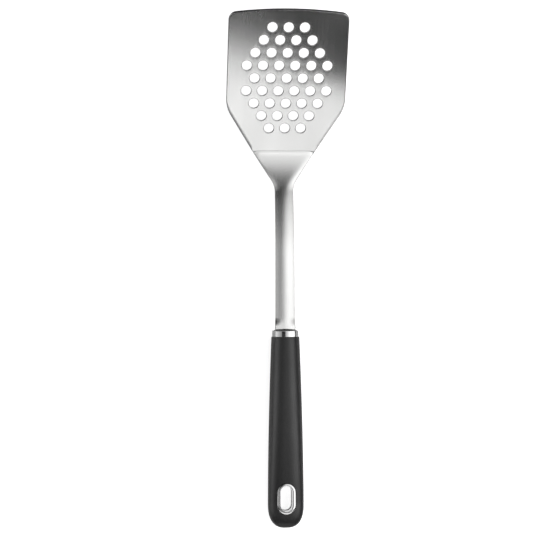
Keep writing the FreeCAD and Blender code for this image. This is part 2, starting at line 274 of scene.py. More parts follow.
class Shell:
    """Points and faces gathered stretch by stretch, then welded into one closed mesh."""

    def __init__(self):
        self.points = []
        self.dull_and_shaded = []
        self.faces = []

    def add(self, points, dull_and_shaded=None):
        """Numbers of new points, each with its share of the dull finish and painted shade of a cut edge."""
        first = len(self.points)
        self.points.extend(tuple(point) for point in points)
        self.dull_and_shaded.extend(dull_and_shaded or [0.0] * (len(self.points) - first))
        return list(range(first, len(self.points)))

    def strip(self, rows, closed=False):
        """Quads between rows of as many points each."""
        for row, following in zip(rows, rows[1:]):
            count = len(row)
            for index in range(count if closed else count - 1):
                beside = (index + 1) % count
                self.faces.append((row[index], row[beside], following[beside], following[index]))

    def fan(self, ring, tip):
        """Triangles from a closed ring to one point."""
        for index, point in enumerate(ring):
            self.faces.append((point, ring[(index + 1) % len(ring)], tip))

    def fill(self, loops, place, keep, extra=(), finish_and_shade=lambda x, y: 0.0):
        """Triangles between closed loops of plan points and along extra lines, where keep says so."""
        plan, edges = [], []
        for loop in loops:
            first = len(plan)
            plan.extend(loop)
            edges.extend((first + i, first + (i + 1) % len(loop)) for i in range(len(loop)))
        for line in extra:
            first = len(plan)
            plan.extend(line)
            edges.extend((first + i, first + i + 1) for i in range(len(line) - 1))
        scaled = [Vector(point) / MM for point in plan]
        flat, _, triangles, *_ = delaunay_2d_cdt(scaled, edges, [], 1, FILL_TOLERANCE)
        spots = [(point.x * MM, point.y * MM) for point in flat]
        numbers = self.add([place(*spot) for spot in spots], [finish_and_shade(*spot) for spot in spots])
        for triangle in triangles:
            centre = sum((flat[i] for i in triangle), Vector((0, 0))) * (MM / len(triangle))
            if keep(centre.x, centre.y):
                self.faces.append(tuple(numbers[i] for i in triangle))

    def welded(self):
        """The gathered faces as one closed bmesh, with the dull finish and painted shade of the cut edges as
        a layer and a plan as its UV map.
        """
        work = bmesh.new()
        dull_and_shaded = work.verts.layers.float.new("cut_edge_finish_and_shade")
        corners = [work.verts.new(point) for point in self.points]
        for corner, share in zip(corners, self.dull_and_shaded):
            corner[dull_and_shaded] = share
        for face in self.faces:
            work.faces.new([corners[i] for i in face])
        bmesh.ops.remove_doubles(work, verts=work.verts, dist=WELD)
        loose = [vert for vert in work.verts if not vert.link_faces]
        bmesh.ops.delete(work, geom=loose, context="VERTS")
        bmesh.ops.recalc_face_normals(work, faces=work.faces)
        plan = work.loops.layers.uv.new("plan")
        for face in work.faces:
            face.smooth = True
            for loop in face.loops:
                loop[plan].uv = loop.vert.co.xy
        return work

    def build(self, name, sharp_angle):
        """The mesh as an object, smooth but for edges sharper than the angle."""
        mesh = bpy.data.meshes.new(name)
        work = self.welded()
        work.to_mesh(mesh)
        work.free()
        mesh.set_sharp_from_angle(angle=sharp_angle)
        piece = bpy.data.objects.new(name, mesh)
        bpy.context.scene.collection.objects.link(piece)
        weighting = piece.modifiers.new("even_normals", "WEIGHTED_NORMAL")
        weighting.keep_sharp = True
        weighting.weight = NORMAL_WEIGHT
        return piece


def corner_round(reach, drop, inner, outer):
    """Inward offset and height over a rounded edge, from a face that runs from inner to outer height."""
    rows = []
    for turn in steps(0.0, math.pi / 2, EDGE_STEPS):
        share = 1 - math.sin(turn)
        rows.append((reach * share, outer + (inner - outer) * share - drop * (1 - math.cos(turn))))
    return rows


def edge_reach(v):
    """How far the blade's edge is rounded inwards: further beside the taper than elsewhere."""
    start, end = TAPER_EDGE_STOP
    share = ease(v / TAPER_EDGE_START) * (1 - ease((v - start) / (end - start)))
    return EDGE_REACH + (TAPER_EDGE_REACH - EDGE_REACH) * share


def edge_profile(inner_height, edge_height, reach=EDGE_REACH):
    """Offset and height round a sheet's edge, from its upper face to its lower face."""
    thickness = edge_height + SHEET / 2
    drop = min(EDGE_DROP, thickness * EDGE_DROP_SHARE)
    burr = min(EDGE_BURR, thickness * EDGE_BURR_SHARE)
    upper = corner_round(reach, drop, inner_height, edge_height)
    lower = corner_round(EDGE_BURR, burr, SHEET / 2, SHEET / 2)
    return upper + [(d, -w) for d, w in lower[::-1]]


def tip_finish_and_shade(u, v):
    """Share of the ground finish and painted shade on the bevel behind the blade's tip."""
    past = math.hypot(u, v - TIP_CENTRE) - (TIP_RADIUS - TIP_BEVEL)
    return min(max(past / GROUND_AND_SHADE_RUN, 0.0), 1.0)


def edge_finish_and_shade(u, v):
    """Share of the dull finish and painted shade on the rounded edge: full at the tip, even at left, growing
    at right.
    """
    side = LEFT_FINISH_AND_SHADE
    if u > 0:
        start, end = RIGHT_FINISH_AND_SHADE_TURN
        turned = ease((v - start) / (end - start))
        side = RIGHT_HEEL_FINISH_AND_SHADE + (RIGHT_TIP_FINISH_AND_SHADE - RIGHT_HEEL_FINISH_AND_SHADE) * turned
    return max(side, tip_finish_and_shade(u, v))


def edge_rims(shell, outline, height, place, reach):
    """Rounded edge along an outline, and the inner limits of the upper and the lower face beside it."""
    inner_top, inner_low, rims = [], [], []
    ends = (0, len(outline) - 1)
    for index, (u, v, facing) in enumerate(outline):
        inward = Vector((-math.cos(facing), -math.sin(facing)))
        if index in ends:
            inward = Vector((-math.copysign(1, u), 0))
        inner = (u + inward.x * reach(v), v + inward.y * reach(v))
        profile = edge_profile(height(*inner), height(u, v), reach(v))
        # Dull finish and painted shade on the rounded edge, and on the tip's bevel at the inner point
        dull_and_shaded = [tip_finish_and_shade(*inner)] + [edge_finish_and_shade(u, v)] * (len(profile) - 1)
        rims.append(shell.add([place(u + inward.x * d, v + inward.y * d, w) for d, w in profile], dull_and_shaded))
        inner_top.append(inner)
        inner_low.append((u + inward.x * EDGE_BURR, v + inward.y * EDGE_BURR))
    shell.strip(rims)
    return inner_top, inner_low


def hole_circle(u, v, radius):
    """Closed circle of plan points round a hole's centre."""
    turns = steps(0.0, math.tau, HOLE_STEPS)[:-1]
    return [(u + radius * math.cos(turn), v + radius * math.sin(turn)) for turn in turns]


def hole_wall(shell, hole, place):
    """Wall of a round hole with its rounded lips on both faces of the sheet."""
    u, v, radius = hole
    upper = corner_round(HOLE_LIP, HOLE_LIP_DROP, SHEET / 2, SHEET / 2)
    profile = upper + [(d, -w) for d, w in upper[::-1]]
    # Lips and wall carry the dull finish and painted shade of a cut edge, the wall in full
    shares = [0.0] + [HOLE_LIP_FINISH_AND_SHADE] * (EDGE_STEPS - 1)
    shares += [HOLE_WALL_FINISH_AND_SHADE] * (len(profile) - EDGE_STEPS)
    rows = []
    for (d, w), share in zip(profile, shares):
        ring = [place(*spot, w) for spot in hole_circle(u, v, radius + d)]
        rows.append(shell.add(ring, [share] * len(ring)))
    shell.strip(rows, closed=True)


def sheet_plate(shell, outline, holes, height, place, crease=(), reach=lambda v: EDGE_REACH):
    """Flat sheet inside an open outline that starts and ends on the u axis, with round holes.

    Each point of the outline has its u, its v and the angle that its edge faces."""
    inner_top, inner_low = edge_rims(shell, outline, height, place, reach)
    for hole in holes:
        hole_wall(shell, hole, place)
    lips = [hole_circle(u, v, radius + HOLE_LIP) for u, v, radius in holes]
    chord = math.cos(math.pi / HOLE_STEPS)

    def outside_holes(u, v):
        return all(math.hypot(u - a, v - b) > (r + HOLE_LIP) * chord for a, b, r in holes)

    def fill_face(inner, margin, level, lines):
        heel = [(u, 0.0) for u in ring_positions(outline[0][0], margin)]
        loops = [inner + heel[1:-1]] + lips
        shell.fill(loops, lambda u, v: place(u, v, level(u, v)), outside_holes, lines, tip_finish_and_shade)

    fill_face(inner_top, EDGE_REACH, height, crease)
    fill_face(inner_low, EDGE_BURR, lambda u, v: -SHEET / 2, ())


def ring_positions(half, reach):
    """Places across the sheet's face, from left to right, between its rounded edges."""
    return [(half - reach) * -math.cos(turn) for turn in steps(0.0, math.pi, RING_STEPS)]


def half_width(run):
    """Half width of neck and stem: straight taper, round into the stem, slight flare to the handle."""
    narrow = STEM_NECK_WIDTH / 2
    taper = (narrow - HEEL_WIDTH / 2) / NECK_LENGTH
    flare = (STEM_END_WIDTH - STEM_NECK_WIDTH) / 2 / (CROWN_END - NECK_LENGTH)
    into_round = run - (NECK_LENGTH - NECK_ROUND_REACH)
    if into_round <= 0:
        return HEEL_WIDTH / 2 + taper * run
    if run <= NECK_END:
        return HEEL_WIDTH / 2 + taper * run + (flare - taper) * into_round**2 / (4 * NECK_ROUND_REACH)
    return narrow + flare * (run - NECK_LENGTH) + (TANG_WIDTH - STEM_END_WIDTH) / 2 * flattened(run)


def flattened(run):
    """Share of the crown that is pressed flat again ahead of the handle."""
    return ease((run - CROWN_END + CROWN_RUNOUT) / CROWN_RUNOUT)


def crown_height(run, u):
    """Height of the pressed sheet's middle above the side path, u across from it."""
    wide = half_width(run)
    growth = (STEM_CROWN - HEEL_STEP) * ease((run - BEND_RUN) / (NECK_END - BEND_RUN))
    power = HEEL_CROWN_POWER + (STEM_CROWN_POWER - HEEL_CROWN_POWER) * ease(run / NECK_END)
    into_corner = min(max(abs(u) - wide + HEEL_STEP_CORNER, 0.0), HEEL_STEP_CORNER)
    corner = HEEL_STEP_CORNER - math.sqrt(HEEL_STEP_CORNER**2 - into_corner**2)
    lift = HEEL_STEP * ease((run - corner) / HEEL_STEP_RUN)
    drop = (lift + growth) * (1 - flattened(run))
    return lift - drop * (abs(u) / wide) ** power


def sheet_frame(run, u):
    """Middle of the pressed sheet and its upward normal, u across from the side path."""
    y, z, heading = side_point(run)
    up = Vector((0, math.sin(heading), math.cos(heading)))
    across = Vector((1, 0, 0))
    slope = (crown_height(run, u + SLOPE_STEP) - crown_height(run, u - SLOPE_STEP)) / (2 * SLOPE_STEP)
    lean = -math.atan(slope)
    middle = Vector((0, HEEL_Y + y, HEEL_Z + z)) + across * u + up * crown_height(run, u)
    return middle, up * math.cos(lean) + across * math.sin(lean)


def stem_ring(run):
    """Closed outline of the sheet across the neck or stem, and the dull finish and painted shade of its
    points.
    """
    wide = half_width(run)
    share = 1 - ease(run / NECK_LENGTH)
    profile = edge_profile(SHEET / 2, SHEET / 2)[1:-1]
    upper = [(u, SHEET / 2, 0.0) for u in ring_positions(wide, EDGE_REACH)]
    right = [(wide - d, w, RIGHT_HEEL_FINISH_AND_SHADE * share) for d, w in profile]
    lower = [(u, -SHEET / 2, 0.0) for u in ring_positions(wide, EDGE_BURR)]
    left = [(d - wide, w, LEFT_FINISH_AND_SHADE * share) for d, w in profile]
    points, finish_and_shade = [], []
    for u, w, dull_and_shaded in upper + right + lower[::-1] + left[::-1]:
        middle, normal = sheet_frame(run, u)
        points.append(middle + normal * w)
        finish_and_shade.append(dull_and_shaded)
    return points, finish_and_shade


def stem_runs():
    """Places of the rings from the heel to the tang, closest where the sheet bends."""
    runs = steps(0, HEEL_STEP_RUN, HEEL_RINGS)
    runs += steps(HEEL_STEP_RUN, BEND_RUN, BEND_RINGS)[1:]
    runs += steps(BEND_RUN, NECK_END, NECK_RINGS)[1:]
    runs += steps(NECK_END, CROWN_END - CROWN_RUNOUT, STEM_RINGS)[1:]
    return runs + steps(CROWN_END - CROWN_RUNOUT, CROWN_END, RUNOUT_RINGS)[1:]


def around(u, v, radius, turns):
    """Points of an arc with the angle that each faces."""
    return [(u + radius * math.cos(turn), v + radius * math.sin(turn), turn) for turn in turns]


def mirrored(outline):
    """The same points on the sheet's other side."""
    return [(-u, v, math.pi - facing) for u, v, facing in outline]


def tip_corner():
    """Centre of the corner beside the tip, and the angles at which the bevel's crease and the tip meet it."""
    centre_reach, inner = TIP_RADIUS - TIP_CORNER, TIP_CORNER - EDGE_REACH
    u = BLADE_WIDTH / 2 - TIP_CORNER
    v = TIP_CENTRE + math.sqrt(centre_reach**2 - u**2)
    meeting = math.atan2(v - TIP_CENTRE, u)
    across = (TIP_RADIUS - TIP_BEVEL) ** 2 - centre_reach**2 - inner**2
    return u, v, meeting - math.acos(across / (2 * centre_reach * inner)), meeting


def blade_outline():
    """Right half from the heel to the tip, then the left half back."""
    half, heel = BLADE_WIDTH / 2, HEEL_WIDTH / 2
    flare = math.atan2(half - heel, TAPER_LENGTH)
    reach = TAPER_ROUND * math.tan(flare / 2)
    start = Vector((half - reach * math.sin(flare), TAPER_LENGTH - reach * math.cos(flare)))
    round_v = TAPER_LENGTH + reach
    corner_u, corner_v, crease, meeting = tip_corner()
    right = [(heel + (start.x - heel) * s, start.y * s, -flare) for s in steps(0, 1, TAPER_STEPS)]
    right += around(half - TAPER_ROUND, round_v, TAPER_ROUND, steps(-flare, 0, TAPER_STEPS)[1:])
    right += [(half, v, 0.0) for v in steps(round_v, corner_v, SIDE_STEPS)[1:]]
    right += around(corner_u, corner_v, TIP_CORNER, steps(0, crease, CORNER_STEPS)[1:])
    right += around(corner_u, corner_v, TIP_CORNER, steps(crease, meeting, CORNER_STEPS)[1:])
    right += around(0.0, TIP_CENTRE, TIP_RADIUS, steps(meeting, math.pi / 2, TIP_STEPS)[1:])
    return right + mirrored(right[-2::-1])


def tip_crease():
    """Line across the blade at which the tip's bevel starts."""
    corner_u, corner_v, crease, _ = tip_corner()
    inner = TIP_CORNER - EDGE_REACH
    end = Vector((corner_u + inner * math.cos(crease), corner_v + inner * math.sin(crease)))
    swing = math.atan2(end.x, end.y - TIP_CENTRE)
    radius = TIP_RADIUS - TIP_BEVEL
    turns = steps(-swing, swing, CREASE_STEPS)
    return [(radius * math.sin(turn), TIP_CENTRE + radius * math.cos(turn)) for turn in turns]


def blade_height(u, v):
    """Upper face of the blade, ground down towards the tip edge."""
    past = math.hypot(u, v - TIP_CENTRE) - (TIP_RADIUS - TIP_BEVEL)
    return SHEET / 2 - max(past, 0.0) * (SHEET - TIP_EDGE) / TIP_BEVEL


def on_blade(u, v, w):
    """Place of a point given in the blade's plane and by its height w over the sheet's middle."""
    y = v * math.cos(BLADE_PITCH) - w * math.sin(BLADE_PITCH)
    z = v * math.sin(BLADE_PITCH) + w * math.cos(BLADE_PITCH)
    return u, HEEL_Y + y, HEEL_Z + z


def on_tang(u, v, w):
    """Place of a point given in the tang's plane, v back from the end of the crown."""
    return u, HEEL_Y + side_point(CROWN_END)[0] - v, AXIS_Z + w


def drain_holes():
    """Centre and radius of each drain hole."""
    for row, count in enumerate(HOLES_PER_ROW):
        v = BLADE_LENGTH - FIRST_ROW_TO_TIP - row * HOLE_ROW_PITCH
        for column in range(count):
            yield (column - (count - 1) / 2) * HOLE_PITCH, v, HOLE_RADIUS


def tang_outline():
    """Right side back from the crown's end, then the left side forwards."""
    half, length = TANG_WIDTH / 2, CROWN_STOP + TANG_LENGTH
    inner = half - TANG_CORNER
    right = [(half, v, 0.0) for v in steps(0, length - TANG_CORNER, CORNER_STEPS)]
    right += around(inner, length - TANG_CORNER, TANG_CORNER, steps(0, math.pi / 2, CORNER_STEPS)[1:])
    return right + mirrored(right[::-1])


def make_steel():
    """Blade, neck, stem and tang, stamped from one sheet."""
    shell = Shell()
    holes = list(drain_holes())
    sheet_plate(shell, blade_outline(), holes, blade_height, on_blade, [tip_crease()], edge_reach)
    shell.strip([shell.add(*stem_ring(run)) for run in stem_runs()], closed=True)
    rear = CROWN_STOP + TANG_LENGTH
    keys = [(0.0, rear - to_end, KEY_HOLE_RADIUS) for to_end in KEY_HOLES_TO_END]
    sheet_plate(shell, tang_outline(), keys, lambda u, v: SHEET / 2, on_tang)
    return shell.build("turner_blade", STEEL_SHARP)


def grip_size(setback, inset):
    """Width, depth and superellipse power of the handle, setback behind the grip's front face."""
    body = GRIP_LENGTH - END_ROUND
    share = min(setback / body, 1.0)
    belly = GRIP_BELLY_SETBACK
    swell = share * (1 + GRIP_SWELL * (1 - share))
    width = GRIP_FRONT_WIDTH + (GRIP_MAX_WIDTH - GRIP_FRONT_WIDTH) * swell
    if setback < belly:
        depth = GRIP_FRONT_DEPTH
        depth += (GRIP_BELLY_DEPTH - GRIP_FRONT_DEPTH) * math.sin(math.pi / 2 * setback / belly)
    else:
        fall = min((setback - belly) / (body - belly), 1.0)
        depth = GRIP_END_DEPTH + (GRIP_BELLY_DEPTH - GRIP_END_DEPTH) * math.cos(math.pi / 2 * fall)
    round_share = min(max(setback - body, 0.0) / (END_ROUND - inset), 1.0)
    width = (width - 2 * inset) * (1 - round_share**END_ROUND_POWER) ** (1 / END_ROUND_POWER)
    depth = (depth - 2 * inset) * (1 - round_share**END_ROUND_DEPTH_POWER) ** (1 / END_ROUND_POWER)
    return width, depth, GRIP_FRONT_POWER + (GRIP_END_POWER - GRIP_FRONT_POWER) * share


def oval(y, width, depth, power, count=GRIP_STEPS):
    """Closed superellipse round the handle's axis."""
    ring = []
    for turn in steps(0.0, math.tau, count)[:-1]:
        cosine, sine = math.cos(turn), math.sin(turn)
        reach = (abs(2 * cosine / width) ** power + abs(2 * sine / depth) ** power) ** (-1 / power)
        ring.append((reach * cosine, y, AXIS_Z + reach * sine))
    return ring


def handle_height(x, y, inset):
    """Height of the handle's upper surface above its axis, over a place in plan."""
    width, depth, power = grip_size(GRIP_FRONT_Y - y, inset)
    return depth / 2 * max(1 - abs(2 * x / width) ** power, 0.0) ** (1 / power)


def obround(margin):
    """Plan outline of the hanging slot, grown by a margin all round."""
    reach, radius = (SLOT_LENGTH - SLOT_WIDTH) / 2, SLOT_WIDTH / 2 + margin
    turns = steps(0, math.pi, SLOT_STEPS)
    front = [(radius * math.cos(turn), SLOT_Y + reach + radius * math.sin(turn)) for turn in turns]
    back = [(-x, 2 * SLOT_Y - y) for x, y in front]
    sides = [(-radius, y) for y in steps(SLOT_Y + reach, SLOT_Y - reach, SLOT_STEPS)[1:-1]]
    return front + sides + back + [(-x, 2 * SLOT_Y - y) for x, y in sides]


def in_obround(x, y, margin):
    """Whether a place in plan lies inside the slot grown by a margin."""
    reach = (SLOT_LENGTH - SLOT_WIDTH) / 2
    beyond = max(abs(y - SLOT_Y) - reach, 0.0)
    return math.hypot(x, beyond) < SLOT_WIDTH / 2 + margin


def handle_setbacks(front, inset, margin):
    """Places of the handle's rings behind its front face: the body, beside the slot, and the end."""
    body, end = GRIP_LENGTH - END_ROUND, END_ROUND - inset
    slot_reach = SLOT_LENGTH / 2 + margin + PATCH_MARGIN
    slot_start = GRIP_FRONT_Y - SLOT_Y - slot_reach
    setbacks = steps(front, slot_start, GRIP_BODY_RINGS)
    setbacks += steps(slot_start, slot_start + 2 * slot_reach, GRIP_SLOT_RINGS)[1:]
    turns = steps(math.asin((setbacks[-1] - body) / end), GRIP_END_TURN, GRIP_END_RINGS)
    return setbacks + [body + end * math.sin(turn) for turn in turns[1:]]


def cut_rings(shell, rows, first, last, middles):
    """Quads between the handle's rings, left out round the slot's two mouths."""
    for row in range(len(rows) - 1):
        ahead, behind = rows[row], rows[row + 1]
        for index in range(GRIP_STEPS):
            from_middle = min(abs(index + 0.5 - middle) for middle in middles)
            if first <= row < last and from_middle < PATCH_SPREAD:
                continue
            beside = (index + 1) % GRIP_STEPS
            shell.faces.append((ahead[index], ahead[beside], behind[beside], behind[index]))


def slot_patch(shell, rows, middle, place, margin):
    """Skin between the rings that were cut round one mouth of the slot and the mouth itself."""
    low, high, last = middle - PATCH_SPREAD, middle + PATCH_SPREAD, len(rows) - 1
    border = [rows[0][index] for index in range(low, high)]
    border += [rows[row][high] for row in range(last)]
    border += [rows[last][index] for index in range(high, low, -1)]
    border += [rows[row][low] for row in range(last, 0, -1)]
    loop = [shell.points[number][:2] for number in border]
    inside = [rows[row][index] for row in range(1, last) for index in range(low + 1, high)]
    spots = [shell.points[number][:2] for number in inside]
    loose = [[spot] for spot in spots if not in_obround(*spot, margin + PATCH_CLEARANCE)]
    shell.fill([loop, obround(margin)], place, lambda x, y: not in_obround(x, y, margin), loose)


def handle_skin(shell, inset, margin, lip_rows):
    """Lofted surface of the handle behind its lip, with the slot's mouths cut in, and its front ring."""
    front = GRIP_LIP if lip_rows else 0.0
    setbacks = handle_setbacks(front, inset, margin)
    rows = [shell.add(oval(GRIP_FRONT_Y - back, *grip_size(back, inset))) for back in setbacks]
    rows = [shell.add(ring) for ring in lip_rows] + rows
    first = len(lip_rows) + GRIP_BODY_RINGS
    last = first + GRIP_SLOT_RINGS
    top, bottom = GRIP_STEPS // 4, GRIP_STEPS * 3 // 4
    cut_rings(shell, rows, first, last, (top, bottom))
    end = shell.add([(0.0, GRIP_END_Y + inset, AXIS_Z)])[0]
    shell.fan(rows[-1], end)
    for side, middle in ((1, top), (-1, bottom)):
        slot_patch(shell, rows[first:last + 1], middle, on_handle(side, inset), margin)
    return rows[0]


def on_handle(side, inset):
    """Function that puts a place in plan on the handle's upper or lower surface."""
    return lambda x, y: (x, y, AXIS_Z + side * handle_height(x, y, inset))


def grip_lip():
    """Rings of the rounded lip round the grip's front face."""
    width, depth, power = grip_size(0.0, 0.0)
    rings = []
    for turn in steps(0, math.pi / 2, GRIP_LIP_STEPS)[:-1]:
        setback = GRIP_LIP * (1 - math.cos(turn))
        inset = 2 * GRIP_LIP * (1 - math.sin(turn))
        rings.append(oval(GRIP_FRONT_Y - setback, width - inset, depth - inset, power))
    return rings


def make_grip():
    """Soft sleeve over the core, open at the front, with the liner's seat round the slot."""
    shell = Shell()
    seat_margin, shaft_margin = FLANGE_WIDTH + FIT, LINER_WALL + FIT
    outer_front = handle_skin(shell, 0.0, seat_margin, grip_lip())
    inner_front = handle_skin(shell, GRIP_WALL, shaft_margin, [])
    shell.strip([outer_front, inner_front], closed=True)
    seat_mouth, shaft_mouth = obround(seat_margin), obround(shaft_margin)
    for side in (1, -1):
        seat = AXIS_Z + side * (FLANGE_TOP - FLANGE_THICKNESS)
        outside, inside = on_handle(side, 0.0), on_handle(side, GRIP_WALL)
        rows = [[outside(x, y) for x, y in seat_mouth],
                [(x, y, seat) for x, y in seat_mouth],
                [(x, y, seat) for x, y in shaft_mouth],
                [inside(x, y) for x, y in shaft_mouth]]
        shell.strip([shell.add(row) for row in rows], closed=True)
    return shell.build("grip_sleeve", HANDLE_SHARP)


def make_ferrule():
    """Polished ring round the core's spigot, with a softened front edge."""
    shell = Shell()
    width, depth = GRIP_FRONT_WIDTH - 2 * GRIP_WALL, GRIP_FRONT_DEPTH - 2 * GRIP_WALL
    wall = FIT + FERRULE_WALL
    rows = [(FIT, FERRULE_FRONT_Y)]
    for turn in steps(math.pi / 2, 0, FERRULE_EDGE_STEPS):
        setback = FERRULE_EDGE * (1 - math.sin(turn))
        rows.append((wall - FERRULE_EDGE * (1 - math.cos(turn)), FERRULE_FRONT_Y - setback))
    rows += [(wall, y) for y in steps(rows[-1][1], GRIP_FRONT_Y, FERRULE_EDGE_STEPS)[1:]]
    rows += [(FIT, GRIP_FRONT_Y), (FIT, FERRULE_FRONT_Y)]
    rings = []
    for margin, y in rows:
        ring = oval(y, width + 2 * margin, depth + 2 * margin, GRIP_FRONT_POWER, FERRULE_STEPS)
        rings.append(shell.add(ring))
    shell.strip(rings, closed=True)
    return shell.build("collar_ring", HANDLE_SHARP)


def make_eyelet(side, name):
    """Half of the slot's liner: a sleeve with a chamfered mouth and a flange that falls away outwards."""
    shell = Shell()
    top, under = FLANGE_TOP, FLANGE_TOP - FLANGE_THICKNESS
    face = FLANGE_WIDTH - FLANGE_EDGE - MOUTH_CHAMFER
    profile = [(0.0, 0.0), (0.0, top - MOUTH_DEPTH)]
    for share in steps(0, 1, FLANGE_FACE_STEPS):
        profile.append((MOUTH_CHAMFER + face * share, top - FLANGE_CROWN * share**2))
    for turn in steps(0, math.pi / 2, FLANGE_EDGE_STEPS)[1:]:
        drop = FLANGE_CROWN + FLANGE_EDGE * (1 - math.cos(turn))
        profile.append((FLANGE_WIDTH - FLANGE_EDGE * (1 - math.sin(turn)), top - drop))
    profile += [(FLANGE_WIDTH, under), (LINER_WALL, under), (LINER_WALL, 0.0)]
    rows = []
    for margin, height in profile:
        rows.append(shell.add([(x, y, AXIS_Z + side * height) for x, y in obround(margin)]))
    shell.strip(rows + rows[:1], closed=True)
    return shell.build(name, HANDLE_SHARP)


steel = make_steel()
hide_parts("blade_and_stem")
collar = make_ferrule()
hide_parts("ferrule")
grip = make_grip()
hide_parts("soft_grip")
rim_front = make_eyelet(1, "slot_rim_front")
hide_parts("eyelet_front")
rim_back = make_eyelet(-1, "slot_rim_back")
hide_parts("eyelet_back")
for piece in (steel, collar, grip, rim_front, rim_back):
    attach(piece, "root")
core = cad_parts["handle_core"]


def node_adder(tree):
    """Function that adds a node to a tree, with its settings and its inputs as values or links."""

    def node(kind, inputs=(), **settings):
        new = tree.nodes.new(kind)
        for key, value in settings.items():
            setattr(new, key, value)
        for key, value in dict(inputs).items():
            if isinstance(value, bpy.types.NodeSocket):
                tree.links.new(value, new.inputs[key])
            else:
                new.inputs[key].default_value = value
        return new

    return node


def material(name, piece):
    """New node material on a piece: shader inputs, links, a node adder and the object's coordinates."""
    made = bpy.data.materials.new(name)
    made.use_nodes = True
    tree = made.node_tree
    piece.data.materials.clear()
    piece.data.materials.append(made)
    node = node_adder(tree)
    place = node("ShaderNodeTexCoord").outputs["Object"]
    return tree.nodes["Principled BSDF"].inputs, tree.links, node, place


def noise(node, place, scale, detail):
    """Noise over the surface, with a scale per metre on each axis."""
    mapped = node("ShaderNodeMapping", {"Vector": place, "Scale": scale}).outputs["Vector"]
    return node("ShaderNodeTexNoise", {"Vector": mapped, "Scale": 1.0, "Detail": detail}).outputs["Fac"]


def spread(node, value, low, high):
    """The noise's usual range taken to a range of the material's own."""
    inputs = {"Value": value, "From Min": NOISE_LOW, "From Max": NOISE_HIGH, "To Min": low, "To Max": high}
    return node("ShaderNodeMapRange", inputs).outputs["Result"]


def blend_colors(node, value, first, second):
    """Colour between two as the noise goes through its usual range."""
    ramp = node("ShaderNodeValToRGB", {"Fac": value})
    start, end = ramp.color_ramp.elements
    start.position, end.position = NOISE_LOW, NOISE_HIGH
    start.color, end.color = (*first, 1), (*second, 1)
    return ramp.outputs["Color"]


def grey(level):
    """Neutral colour of one level."""
    return (level, level, level)


def calculate(node, operation, *values):
    """Result of a Math node."""
    return node("ShaderNodeMath", dict(enumerate(values)), operation=operation).outputs["Value"]


def span(node, value, limits):
    """Smooth mask from 0 at the first limit to 1 at the second."""
    inputs = {"Value": value, "From Min": limits[0], "From Max": limits[1]}
    return node("ShaderNodeMapRange", inputs, interpolation_type="SMOOTHSTEP").outputs["Result"]


def bumped(node, height, strength, distance, **inputs):
    """Normal with a fine relief."""
    inputs.update(Height=height, Strength=strength, Distance=distance)
    return node("ShaderNodeBump", inputs).outputs["Normal"]


def blade_spring(node, across, along):
    """Tilt along Y from the blade's twist, and from a bow of its right side towards the tip."""
    past = calculate(node, "MINIMUM", calculate(node, "SUBTRACT", along, BOW_Y), BOW_REACH)
    right = calculate(node, "MAXIMUM", calculate(node, "ADD", across, BOW_LEFT), 0.0)
    bow = calculate(node, "MULTIPLY", calculate(node, "MULTIPLY", past, right), BLADE_BOW)
    spring = calculate(node, "MULTIPLY_ADD", across, BLADE_TWIST, bow)
    return calculate(node, "MULTIPLY", spring, span(node, along, SPRING_START))


def stem_lean(node, across, along):
    """Tilt along X of the neck and the stem, and of the right side of the stem's end."""
    neck = calculate(node, "MULTIPLY", span(node, along, NECK_LEAN_START), NECK_LEAN)
    neck = calculate(node, "MULTIPLY", neck, span(node, along, NECK_LEAN_END))
    lean = calculate(node, "MULTIPLY_ADD", span(node, along, STEM_LEAN_START), STEM_LEAN, neck)
    crown = calculate(node, "MAXIMUM", calculate(node, "ADD", across, END_CROWN_LEFT), 0.0)
    crown = calculate(node, "MULTIPLY", crown, END_CROWN)
    return calculate(node, "MULTIPLY_ADD", crown, span(node, along, END_CROWN_START), lean)


def sprung_normal(node, place):
    """Normal of a sheet with faint bends, too slight for its outline but seen in what it mirrors."""
    axes = node("ShaderNodeSeparateXYZ", {0: place}).outputs
    lean = stem_lean(node, axes["X"], axes["Y"])
    spring = blade_spring(node, axes["X"], axes["Y"])
    tilt = node("ShaderNodeCombineXYZ", {"X": lean, "Y": spring}).outputs["Vector"]
    flat = node("ShaderNodeNewGeometry").outputs["Normal"]
    tilted = node("ShaderNodeVectorMath", {0: flat, 1: tilt}, operation="ADD").outputs["Vector"]
    return node("ShaderNodeVectorMath", {0: tilted}, operation="NORMALIZE").outputs["Vector"]


